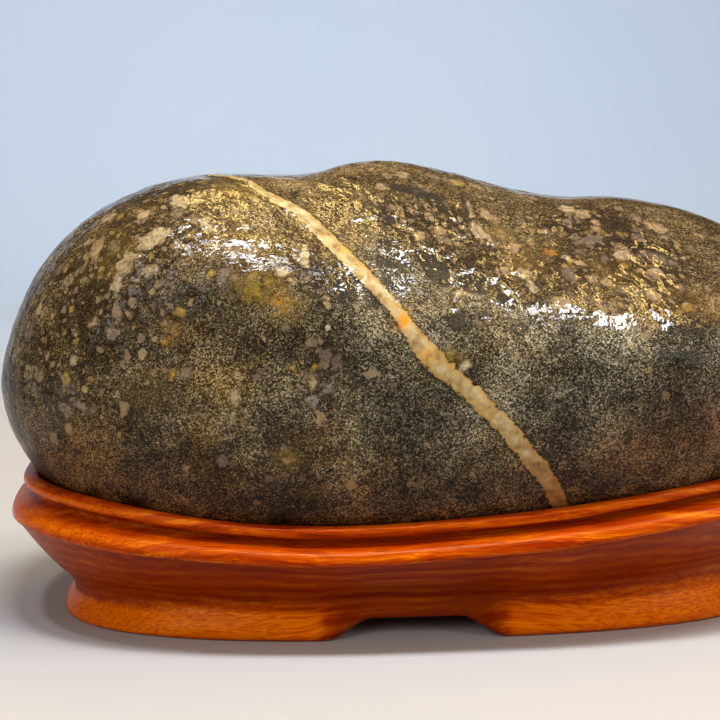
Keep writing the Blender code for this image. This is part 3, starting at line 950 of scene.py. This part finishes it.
def stone_material():
    n = Nodes("wet_stone")
    shader = n.shader

    cap = n.attribute("cap")
    breccia = n.attribute("breccia")
    wet = n.attribute("wet")
    lens = n.attribute("lens")

    # the ground of the rock: a fine salt-and-pepper of grains
    grain_far, grain_colour = n.voronoi(2.7)
    grain = n.split(grain_colour)[0]
    speckle = n.noise(3.6, detail=3.0, roughness=0.7)
    fine = n.noise(4.2, detail=2.0, roughness=0.6)
    salt = n.math("MULTIPLY", grain, 0.42)
    salt = n.math("ADD", salt, n.math("MULTIPLY", n.span(speckle, 0.30, 0.70, smooth=False), 0.42))
    salt = n.math("ADD", salt, n.math("MULTIPLY", n.span(fine, 0.3, 0.7, smooth=False), 0.18))
    broad = n.noise(0.045, detail=3.0, roughness=0.6)
    medium = n.noise(0.22, detail=3.0, roughness=0.6)
    salt = n.math("ADD", salt, n.math("MULTIPLY", n.math("SUBTRACT", broad, 0.5), 0.66))
    salt = n.math("ADD", salt, n.math("MULTIPLY", n.math("SUBTRACT", medium, 0.5), 0.36))
    green = n.ramp(
        salt,
        (0.24, linear(15, 13, 8)),
        (0.40, linear(44, 41, 30)),
        (0.54, linear(82, 76, 59)),
        (0.67, linear(132, 124, 101)),
        (0.84, linear(206, 196, 166)),
    )
    brown = n.ramp(
        salt,
        (0.24, linear(15, 10, 4)),
        (0.40, linear(43, 32, 15)),
        (0.54, linear(76, 59, 31)),
        (0.67, linear(119, 96, 58)),
        (0.84, linear(192, 163, 110)),
    )
    tint = n.noise(0.07, detail=2.0, roughness=0.6)
    # the brown mix carries painted warm light on the top and painted bounce light near the seat, besides the rock's own
    # brown
    brownness = n.math("ADD", n.attribute("brown"), n.span(tint, 0.40, 0.70, -0.15, 0.35), clamp=True)
    colour = n.mix(brownness, green, brown)

    # small pale fragments, close together in the breccia
    warp = n.new("ShaderNodeVectorMath", operation="MULTIPLY_ADD")
    n.put(warp.inputs[0], n.noise(0.45, detail=2.0, colour=True))
    n.put(warp.inputs[1], (2.4, 2.4, 2.4))
    n.put(warp.inputs[2], n.place)
    warped = warp.outputs[0]
    height = None
    for scale, share_low, share_high, strength in ((0.20, 0.30, 0.62, 0.85), (0.42, 0.25, 0.55, 0.7)):
        far, cell_colour = n.voronoi(scale, at=warped)
        gap, _ = n.voronoi(scale, feature="DISTANCE_TO_EDGE", at=warped)
        pick, shade, hue = n.split(cell_colour)
        chosen = n.math("GREATER_THAN", n.math("ADD", n.math("MULTIPLY", breccia, 0.75), pick), 1.0 - 0.06)
        size = n.span(shade, 0.0, 1.0, share_low * 0.6, share_high * 0.9, smooth=False)
        inside = n.math("MULTIPLY", chosen, n.math("LESS_THAN", far, size))
        edge = n.span(gap, 0.02, 0.16)
        inside = n.math("MULTIPLY", inside, edge)
        inside = n.math("MULTIPLY", inside, n.span(speckle, 0.30, 0.62, 0.60, 1.0))
        inside = n.math("MULTIPLY", inside, strength)
        chip = n.ramp(
            hue,
            (0.0, linear(112, 92, 70)),
            (0.25, linear(170, 146, 112)),
            (0.5, linear(146, 120, 102)),
            (0.72, linear(198, 168, 120)),
            (0.9, linear(166, 134, 66)),
        )
        chip = n.mix(n.span(fine, 0.3, 0.7, 0.0, 0.35), chip, linear(92, 74, 52))
        dark = n.math("MULTIPLY", n.math("MULTIPLY", n.math("SUBTRACT", 1.0, edge), breccia), 0.5)
        colour = n.mix(n.math("MULTIPLY", dark, 1.5, clamp=True), colour, linear(36, 24, 12))
        colour = n.mix(inside, colour, chip)
        raised = n.math("MULTIPLY", inside, 0.16 if scale < 0.3 else 0.10)
        height = raised if height is None else n.math("ADD", height, raised)

    # the larger fragments, with ragged edges
    ragged = n.math("MULTIPLY", n.math("SUBTRACT", n.noise(0.42, detail=4.0, roughness=0.68), 0.5), 5.0)
    mottle = n.noise(0.8, detail=3.0, roughness=0.65)
    for kind in ("grey", "pale"):
        deep = n.math("ADD", n.attribute(kind), ragged)
        inside = n.math("MULTIPLY", n.span(deep, -0.45, 0.65), n.span(speckle, 0.30, 0.62, 0.70, 1.0))
        tone = n.math("ADD", n.attribute(kind + "_tone"), n.math("MULTIPLY", n.math("SUBTRACT", mottle, 0.5), 0.25))
        if kind == "pale":
            chip = n.ramp(
                tone,
                (0.0, linear(218, 210, 194)),
                (0.35, linear(222, 200, 156)),
                (0.6, linear(196, 165, 120)),
                (0.8, linear(196, 168, 64)),
                (1.0, linear(208, 128, 30)),
            )
        else:
            chip = n.ramp(
                tone,
                (0.0, linear(176, 168, 152)),
                (0.3, linear(136, 122, 106)),
                (0.6, linear(132, 106, 86)),
                (1.0, linear(102, 82, 64)),
            )
        chip = n.mix(n.span(mottle, 0.34, 0.62, 0.75, 0.0), chip, linear(104, 80, 52))
        rim = n.math("MULTIPLY", n.span(deep, -1.3, -0.1), n.math("SUBTRACT", 1.0, inside))
        colour = n.mix(n.math("MULTIPLY", rim, 0.45), colour, linear(50, 35, 20))
        colour = n.mix(n.math("MULTIPLY", inside, 0.85 if kind == "pale" else 0.7), colour, chip)
        height = n.math("ADD", height, n.math("MULTIPLY", inside, 0.12))

    # stains: olive over yellow to orange
    stain = n.attribute("stain")
    stain = n.math("MULTIPLY", stain, n.span(n.noise(0.35, detail=3.0, roughness=0.65), 0.25, 0.7))
    stain_colour = n.ramp(
        n.attribute("stain_tone"),
        (0.0, linear(104, 94, 38)),
        (0.35, linear(170, 136, 46)),
        (0.6, linear(172, 128, 56)),
        (0.85, linear(222, 164, 52)),
        (1.0, linear(230, 146, 20)),
    )
    before_stain = colour
    colour = n.mix(stain, colour, n.mix(0.38, stain_colour, n.mix(1.0, stain_colour, salt, "MULTIPLY")))

    # the dark lenses, and painted shade along a few crevices
    lens_ground = n.mix(n.span(speckle, 0.35, 0.75), linear(24, 20, 17), linear(74, 67, 56))
    lens = n.math("ADD", lens, n.math("MULTIPLY", n.math("SUBTRACT", n.noise(0.3, detail=3.0, roughness=0.6), 0.5), 1.1))
    colour = n.mix(n.span(lens, 0.30, 0.75, 0.0, 0.78), colour, lens_ground)
    colour = n.mix(n.math("MULTIPLY", n.attribute("pit"), n.span(cap, 0, 1, 0.35, 0.8)), colour, linear(24, 18, 12))

    # the vein
    side = n.attribute("vein_side")
    half = n.attribute("vein_half")
    rag = n.math("MULTIPLY", n.math("SUBTRACT", n.noise(0.55, detail=4.0, roughness=0.72), 0.5), 3.8)
    depth = n.math("ADD", n.math("SUBTRACT", half, n.math("ABSOLUTE", side)), rag)
    vein = n.span(depth, -0.15, 0.30)
    vein_noise = n.noise(0.35, detail=4.0, roughness=0.6)
    vein_fine = n.noise(1.6, detail=2.0, roughness=0.6)
    vein_colour = n.ramp(
        vein_noise,
        (0.32, linear(130, 102, 60)),
        (0.42, linear(168, 143, 96)),
        (0.53, linear(192, 172, 126)),
        (0.68, linear(216, 202, 162)),
    )
    vein_colour = n.mix(n.span(vein_fine, 0.3, 0.7, 0.30, 0.0), vein_colour, linear(176, 138, 84))
    lower = n.span(n.math("DIVIDE", side, half), 0.30, 0.85)
    lower = n.math("MULTIPLY", lower, n.span(n.attribute("vein_run"), 2.0, 22.0, 0.1, 0.55))
    upper = n.span(n.math("DIVIDE", side, half), -0.35, -0.9, 0.0, 0.5)
    vein_colour = n.mix(n.math("MAXIMUM", lower, upper), vein_colour, linear(190, 148, 64))
    spots = n.span(n.noise(0.13, detail=3.0), 0.52, 0.68, 0.0, 0.4)
    vein_colour = n.mix(spots, vein_colour, linear(196, 150, 76))
    vein_colour = n.mix(n.math("MULTIPLY", stain, 1.6, clamp=True), vein_colour, stain_colour)
    edge_dark = n.math("MULTIPLY", n.span(depth, -1.3, -0.15), n.math("SUBTRACT", 1.0, vein))
    colour = n.mix(n.math("MULTIPLY", edge_dark, 0.6), colour, linear(40, 28, 16))
    colour = n.mix(vein, colour, vein_colour)

    # painted shade and painted orange bounce light from the wood: the foot of the stone is coloured darker and redder
    # close to the wood
    low = n.span(n.attribute("above_seat"), 0.0, 30.0, 0.95, 0.0)
    colour = n.mix(low, colour, linear(196, 152, 118), "MULTIPLY")
    # the right half of its top is a little darker
    colour = n.mix(n.attribute("dim"), colour, linear(238, 240, 248), "MULTIPLY")
    n.put(shader.inputs["Base Color"], colour)

    # relief too fine for the mesh
    height = n.math("ADD", height, n.math("MULTIPLY", speckle, 0.16))
    height = n.math("ADD", height, n.math("MULTIPLY", fine, 0.07))
    height = n.math("ADD", height, n.math("MULTIPLY", vein, 0.12))
    height = n.math("ADD", height, n.math("MULTIPLY", n.math("MULTIPLY", vein, vein_fine), 0.10))
    n.put(shader.inputs["Normal"], n.bump(height, 0.75))
    roughness = n.math("ADD", n.span(wet, 0.2, 1.0, 0.66, 0.50), n.span(fine, 0.3, 0.7, -0.08, 0.08))
    n.put(shader.inputs["Roughness"], roughness)
    shader.inputs["Specular IOR Level"].default_value = 0.06

    # the clear coat lies over the grains in smooth waves
    waves = n.math("MULTIPLY", n.noise(0.27, detail=2.0, roughness=0.5), 1.15)
    grains = n.math("ADD", n.math("MULTIPLY", speckle, 0.026), n.math("MULTIPLY", fine, 0.011))
    ripples = n.math("ADD", n.math("MULTIPLY", n.noise(0.9, detail=1.0), 0.13), grains)
    ripples = n.math("MULTIPLY", ripples, n.span(n.attribute("lens"), 0.4, 1.0, 1.0, 0.2))
    waves = n.math("ADD", waves, ripples)
    waves = n.math("MULTIPLY", waves, n.attribute("choppy"))
    n.put(shader.inputs["Coat Normal"], n.bump(waves, 0.6))
    n.put(shader.inputs["Coat Weight"], wet)
    shader.inputs["Coat Roughness"].default_value = 0.045
    shader.inputs["Coat IOR"].default_value = 1.45
    return n.material


def wood_material():
    n = Nodes("stand_hardwood")
    shader = n.shader
    along = n.vector("MULTIPLY", n.place, (0.03, 1.0, 1.0))
    waver = n.new("ShaderNodeVectorMath", operation="MULTIPLY_ADD")
    n.put(waver.inputs[0], n.noise(0.02, detail=2.0, colour=True))
    n.put(waver.inputs[1], (0.0, 10.0, 10.0))
    n.put(waver.inputs[2], along)
    along = waver.outputs[0]
    figure = n.noise(0.34, detail=5.0, roughness=0.66, at=along)
    long = n.vector("MULTIPLY", along, (0.6, 1.0, 1.0))
    streak = n.noise(1.9, detail=4.0, roughness=0.68, at=long)
    fibre = n.noise(4.5, detail=2.0, roughness=0.6, at=long)
    rings = n.new("ShaderNodeTexWave", wave_type="BANDS", bands_direction="Z", wave_profile="SIN")
    n.put(rings.inputs["Vector"], along)
    for key, number in (("Scale", 0.09), ("Distortion", 5.0), ("Detail", 2.0), ("Detail Scale", 0.6)):
        n.put(rings.inputs[key], number)
    tone = n.math("MULTIPLY", figure, 0.42)
    tone = n.math("ADD", tone, n.math("MULTIPLY", streak, 0.48))
    tone = n.math("ADD", tone, n.math("MULTIPLY", rings.outputs["Fac"], 0.10))
    colour = n.ramp(
        tone,
        (0.34, linear(116, 22, 0)),
        (0.43, linear(160, 46, 0)),
        (0.52, linear(190, 71, 0)),
        (0.64, linear(232, 122, 4)),
    )
    colour = n.mix(n.span(fibre, 0.34, 0.58, 0.45, 0.0), colour, linear(138, 32, 0))
    pores = n.noise(1.9, detail=1.0, at=n.vector("MULTIPLY", n.place, (0.10, 1.0, 1.0)))
    pores = n.span(pores, 0.66, 0.74, 0.0, 0.55)
    colour = n.mix(pores, colour, linear(84, 20, 2))
    # painted shade: the wood is coloured darker where shade falls in the profile; painted highlight: brighter where the
    # value is below 0, on the feet and the two ends
    painted_shade_and_highlight = n.attribute("painted_shade_and_highlight")
    painted_shade_share = n.math("MULTIPLY", painted_shade_and_highlight, n.span(n.noise(0.05, detail=2.0), 0.3, 0.7, 0.75, 1.0))
    colour = n.mix(n.math("MULTIPLY", painted_shade_share, 0.85, clamp=True), colour, linear(94, 8, 0))
    painted_highlight_colour = n.mix(n.span(streak, 0.36, 0.62), linear(226, 82, 0), linear(255, 134, 6))
    colour = n.mix(n.math("MULTIPLY", n.span(painted_shade_and_highlight, 0.0, -0.6, smooth=False), 0.8), colour, painted_highlight_colour)
    n.put(shader.inputs["Base Color"], colour)
    height = n.math("ADD", n.math("MULTIPLY", fibre, 0.05), n.math("MULTIPLY", streak, 0.08))
    height = n.math("SUBTRACT", height, n.math("MULTIPLY", pores, 0.10))
    n.put(shader.inputs["Normal"], n.bump(height, 0.8))
    n.put(shader.inputs["Roughness"], n.span(streak, 0.3, 0.7, 0.42, 0.30))
    shader.inputs["Specular IOR Level"].default_value = 0.34
    shader.inputs["Specular Tint"].default_value = (1.0, 0.42, 0.02, 1.0)
    shader.inputs["Coat Weight"].default_value = 0.05
    shader.inputs["Coat Roughness"].default_value = 0.14
    n.put(shader.inputs["Coat Normal"], n.bump(n.math("MULTIPLY", streak, 0.10), 0.5))
    return n.material


def studio_material(name, low, high):
    n = Nodes(name)
    spread = n.noise(0.004, detail=2.0)
    away = n.new("ShaderNodeVectorMath", operation="LENGTH")
    n.put(away.inputs[0], n.place)
    colour = n.mix(n.span(away.outputs["Value"], 260.0, 900.0), low, high)
    colour = n.mix(n.span(spread, 0.3, 0.7, 0.0, 0.08), colour, linear(216, 216, 220))
    n.put(n.shader.inputs["Base Color"], colour)
    n.shader.inputs["Roughness"].default_value = 0.75
    n.shader.inputs["Specular IOR Level"].default_value = 0.1
    return n.material


# ---- the studio ----------------------------------------------------------------------------------
def make_floor():
    """A pale floor that sweeps up behind, well clear of the stand."""
    radius, start = 0.55, 0.95
    profile = [(-3.0, 0.0), (start, 0.0)]
    for s in range(1, 25):
        a = s / 24 * math.radians(85)
        profile.append((start + radius * math.sin(a), radius * (1 - math.cos(a))))
    verts, faces = [], []
    for x in (-4.0, 4.0):
        verts += [(x, y, z) for y, z in profile]
    k = len(profile)
    for i in range(k - 1):
        faces.append((i, k + i, k + i + 1, i + 1))
    mesh = bpy.data.meshes.new("studio_floor")
    mesh.from_pydata(verts, [], faces)
    mesh.shade_smooth()
    obj = bpy.data.objects.new("studio_floor", mesh)
    bpy.context.scene.collection.objects.link(obj)
    mesh.materials.append(studio_material("studio_paper", linear(180, 179, 180), linear(183, 201, 224)))
    return obj


def area_light(name, place, target, size, power, colour):
    light = bpy.data.lights.new(name, "AREA")
    light.shape = "RECTANGLE"
    light.size, light.size_y = size
    light.energy = power
    light.color = colour
    obj = bpy.data.objects.new(name, light)
    obj.location = place
    obj.rotation_euler = (Vector(target) - Vector(place)).to_track_quat("-Z", "Y").to_euler()
    bpy.context.scene.collection.objects.link(obj)
    return obj


def make_lights():
    for x, size, power in ((-0.36, (0.15, 0.10), 2.4), (0.02, (0.32, 0.16), 9.5), (0.54, (0.25, 0.08), 4.0)):
        area_light("overhead", (x, -0.20, 1.10), (0, -0.02, 0.08), size, power, (0.96, 0.97, 1.0))
    area_light("overhead_warm", (0.16, 0.07, 1.10), (0, 0.0, 0.10), (1.6, 0.016), 6.0, (1.0, 0.68, 0.22))
    area_light("overhead_warm_right", (0.62, 0.15, 1.08), (0.06, -0.04, 0.10), (0.5, 0.010), 1.5, (1.0, 0.66, 0.20))
    area_light("front_left", (-0.95, -1.25, 0.95), (0, 0, 0.06), (0.9, 0.9), 9.0, (1.0, 0.97, 0.93))
    area_light("front_right", (1.2, -0.9, 0.8), (0, 0, 0.06), (0.8, 0.8), 6.3, (1.0, 0.97, 0.94))
    sweep = area_light("sweep", (0.0, 0.70, 1.5), (0, 1.5, 0.15), (2.2, 0.5), 5.5, (0.985, 0.98, 1.0))
    sweep.data.spread = math.radians(100)
    world = bpy.data.worlds.new("studio_air")
    world.use_nodes = True
    back = world.node_tree.nodes["Background"]
    back.inputs[0].default_value = linear(190, 174, 150)
    back.inputs[1].default_value = 0.16
    bpy.context.scene.world = world


def make_camera():
    data = bpy.data.cameras.new("camera")
    data.sensor_width = 36.0
    data.lens = FOCAL / FRAME_SIZE * 36.0
    data.clip_start, data.clip_end = 0.02, 20.0
    camera = bpy.data.objects.new("camera", data)
    camera.location = [c * MM for c in EYE]
    camera.rotation_euler = (math.radians(90 - PITCH), 0.0, math.radians(YAW))
    bpy.context.scene.collection.objects.link(camera)
    bpy.context.scene.camera = camera


def main():
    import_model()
    make_camera()
    bpy.context.scene.view_settings.view_transform = "Standard"
    bpy.context.scene.view_settings.look = "None"

    stone = make_stone()
    stone.data.materials.append(stone_material())
    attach(stone, "root")
    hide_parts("stone")

    stand = make_stand()
    stand.data.materials.append(wood_material())
    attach(stand, "root")
    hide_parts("stand")

    make_floor()
    make_lights()


main()
